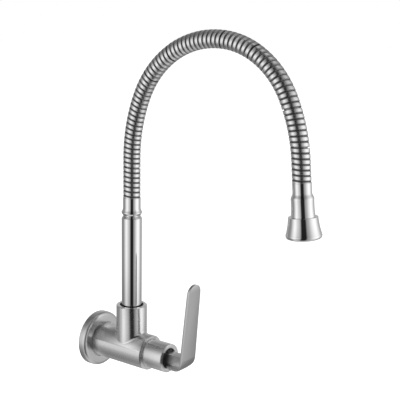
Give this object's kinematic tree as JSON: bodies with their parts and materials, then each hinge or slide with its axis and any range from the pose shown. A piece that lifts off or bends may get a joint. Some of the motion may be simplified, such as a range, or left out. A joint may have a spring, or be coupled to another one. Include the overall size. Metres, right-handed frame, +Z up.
{
  "type": "flexible spout sink tap",
  "caption": "Wall-mounted single-lever sink tap with a round flange, an upright tube, a ribbed flexible gooseneck and a bell-shaped spray nozzle.",
  "frame": {"origin": "centre of the flange's back face, on the axis of the threaded inlet, in the plane of the finished wall", "axes": "+Y into the wall along the inlet, -Y out into the room, +Z up along the riser, +X to the right seen from the room facing the wall"},
  "size_m": [0.0556, 0.274, 0.3482],
  "materials": {
    "satin_steel": "satin brushed stainless steel",
    "polished_steel": "mirror polished stainless steel",
    "brass": "machined brass",
    "ceramic": "ground white ceramic",
    "rubber": "black seal rubber",
    "white_plastic": "plain white plastic",
    "liner": "soft translucent plastic",
    "spring_steel": "plain steel"
  },
  "bodies": {
    "valve": {"wall_flange": "satin_steel", "valve_body": "satin_steel", "seat_seal": "rubber", "cartridge_housing": "brass", "housing_oring": "rubber", "fixed_disc": "ceramic", "bonnet_collar": "satin_steel", "spout_lock_screw": "spring_steel"},
    "lever": {"lever_handle": "satin_steel", "handle_grub_screw": "spring_steel", "cartridge_spindle": "brass", "moving_disc": "ceramic", "spindle_orings": "rubber", "spindle_clip": "spring_steel", "thrust_washer": "white_plastic"},
    "spout": {"swivel_nipple": "brass", "swivel_orings": "rubber", "slip_ring": "white_plastic", "spout_tube": "polished_steel", "lower_ferrule": "polished_steel", "lower_hose_tail": "brass", "hose_span_01": "polished_steel", "water_tube_01": "liner"},
    "hose_02": {"hose_span_02": "polished_steel", "water_tube_02": "liner"},
    "hose_03": {"hose_span_03": "polished_steel", "water_tube_03": "liner"},
    "hose_04": {"hose_span_04": "polished_steel", "water_tube_04": "liner"},
    "hose_05": {"hose_span_05": "polished_steel", "water_tube_05": "liner"},
    "hose_06": {"hose_span_06": "polished_steel", "water_tube_06": "liner"},
    "hose_07": {"hose_span_07": "polished_steel", "water_tube_07": "liner"},
    "hose_08": {"hose_span_08": "polished_steel", "water_tube_08": "liner"},
    "hose_09": {"hose_span_09": "polished_steel", "water_tube_09": "liner"},
    "hose_10": {"hose_span_10": "polished_steel", "water_tube_10": "liner"},
    "hose_11": {"hose_span_11": "polished_steel", "water_tube_11": "liner"},
    "nozzle": {"hose_span_12": "polished_steel", "water_tube_12": "liner", "upper_hose_tail": "brass", "nozzle_neck": "polished_steel", "spray_bell": "polished_steel", "nozzle_seal": "rubber", "aerator_shell": "white_plastic", "aerator_diffuser": "white_plastic", "aerator_screens": "spring_steel"}
  },
  "joints": [
    {"name": "lever_turn", "type": "hinge", "parent": "valve", "child": "lever", "pos_m": [0, -0.0468, 0], "axis": [0, -1, 0], "range_deg": [0, 90]},
    {"name": "spout_swivel", "type": "hinge", "parent": "valve", "child": "spout", "pos_m": [0, -0.0468, 0], "axis": [0, 0, 1], "continuous": true},
    {"name": "hose_bend_01", "type": "hinge", "parent": "spout", "child": "hose_02", "pos_m": [0, -0.0468, 0.18559], "axis": [1, 0, 0], "range_deg": [-7.5, 7.5]},
    {"name": "hose_bend_02", "type": "hinge", "parent": "hose_02", "child": "hose_03", "pos_m": [0, -0.04873, 0.21708], "axis": [1, 0, 0], "range_deg": [-7.5, 7.5]},
    {"name": "hose_sway_03", "type": "hinge", "parent": "hose_03", "child": "hose_04", "pos_m": [0, -0.05688, 0.24755], "axis": [0, 0.9344, 0.3562], "range_deg": [-7.5, 7.5]},
    {"name": "hose_bend_04", "type": "hinge", "parent": "hose_04", "child": "hose_05", "pos_m": [0, -0.07205, 0.27511], "axis": [1, 0, 0], "range_deg": [-7.5, 7.5]},
    {"name": "hose_bend_05", "type": "hinge", "parent": "hose_05", "child": "hose_06", "pos_m": [0, -0.09522, 0.29638], "axis": [1, 0, 0], "range_deg": [-7.5, 7.5]},
    {"name": "hose_sway_06", "type": "hinge", "parent": "hose_06", "child": "hose_07", "pos_m": [0, -0.12402, 0.30903], "axis": [0, 0.2473, 0.9689], "range_deg": [-7.5, 7.5]},
    {"name": "hose_bend_07", "type": "hinge", "parent": "hose_07", "child": "hose_08", "pos_m": [0, -0.15535, 0.31172], "axis": [1, 0, 0], "range_deg": [-7.5, 7.5]},
    {"name": "hose_bend_08", "type": "hinge", "parent": "hose_08", "child": "hose_09", "pos_m": [0, -0.1856, 0.30332], "axis": [1, 0, 0], "range_deg": [-7.5, 7.5]},
    {"name": "hose_sway_09", "type": "hinge", "parent": "hose_09", "child": "hose_10", "pos_m": [0, -0.21049, 0.28418], "axis": [0, -0.75, 0.6614], "range_deg": [-7.5, 7.5]},
    {"name": "hose_bend_10", "type": "hinge", "parent": "hose_10", "child": "hose_11", "pos_m": [0, -0.22662, 0.2572], "axis": [1, 0, 0], "range_deg": [-7.5, 7.5]},
    {"name": "hose_bend_11", "type": "hinge", "parent": "hose_11", "child": "nozzle", "pos_m": [0, -0.23551, 0.22694], "axis": [1, 0, 0], "range_deg": [-7.5, 7.5]}
  ]
}
